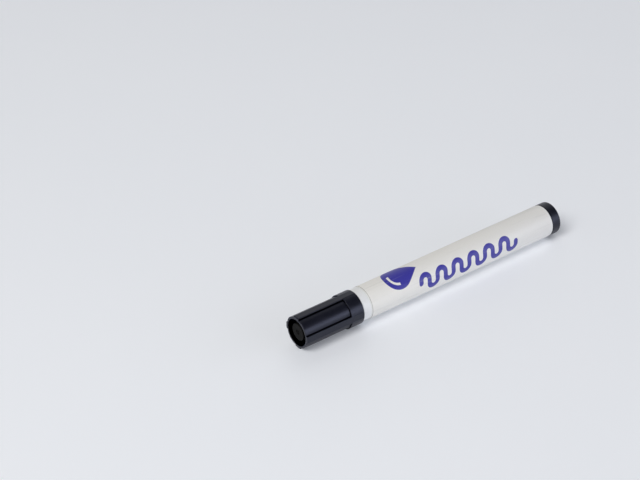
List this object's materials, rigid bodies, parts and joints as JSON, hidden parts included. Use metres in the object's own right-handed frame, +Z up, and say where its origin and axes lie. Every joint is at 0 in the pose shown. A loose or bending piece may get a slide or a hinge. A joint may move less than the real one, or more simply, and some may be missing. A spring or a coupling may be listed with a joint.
{
  "type": "felt tip marker",
  "caption": "Felt tip marker for dry-wipe boards: a round barrel with a printed wrap, a bullet nib and a black push-on cap whose flat ribs stop it from rolling.",
  "frame": {"origin": "under the middle of the marker, on the surface that it lies on", "axes": "+X along the marker from the cap's closed end to the tail, +Z up, with one of the cap's flat ribs downwards"},
  "size_m": [0.14, 0.0154, 0.0153],
  "materials": {
    "cap_black": "satin",
    "seal_black": "satin",
    "section_white": "satin",
    "nib_felt": "matte",
    "barrel_white": "satin",
    "label_film": "satin",
    "ink_fibre": "matte",
    "core_film": "gloss",
    "plug_black": "satin"
  },
  "bodies": {
    "pen": {"front_section": "section_white", "nib": "nib_felt", "barrel": "barrel_white", "label": "label_film", "reservoir_core": "ink_fibre", "reservoir_film": "core_film", "end_plug": "plug_black"},
    "cap": {"cap_shell": "cap_black", "cap_inner_seal": "seal_black"}
  },
  "joints": [
    {"name": "cap_pull", "type": "slide", "parent": "pen", "child": "cap", "axis": [-1, 0, 0], "range_m": [0, 0.045]}
  ]
}
